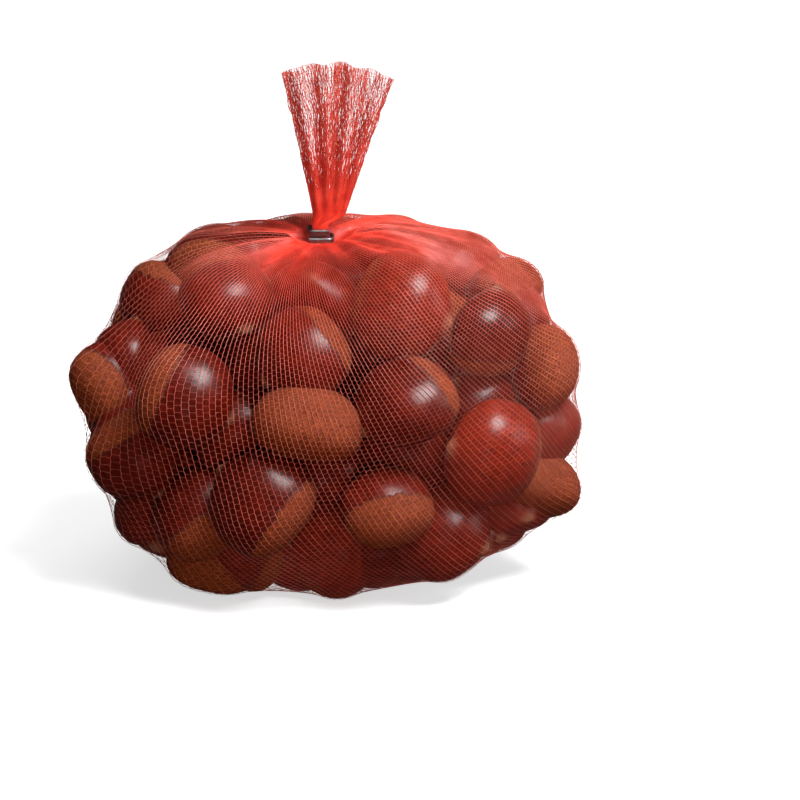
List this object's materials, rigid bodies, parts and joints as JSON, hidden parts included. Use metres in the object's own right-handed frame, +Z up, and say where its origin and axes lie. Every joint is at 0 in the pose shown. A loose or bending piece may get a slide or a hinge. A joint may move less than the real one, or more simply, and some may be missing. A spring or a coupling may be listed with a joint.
{
  "type": "net bag of chestnuts",
  "caption": "net bag filled tight with whole chestnuts, gathered in a small metal clip under a long fanned net end, resting on a flat spot",
  "frame": {"origin": "middle of the flat spot that the bag rests on", "axes": "+Z up through the top clip and the fanned end, +X to the right of the side shown, -Y to the front of the side shown"},
  "size_m": [0.1701, 0.138, 0.176],
  "materials": {
    "net": "satin",
    "chestnut": "gloss",
    "clip": "satin"
  },
  "bodies": {
    "root": {"net_bag": "net", "top_clip": "clip", "end_clip": "clip"}
  },
  "joints": []
}
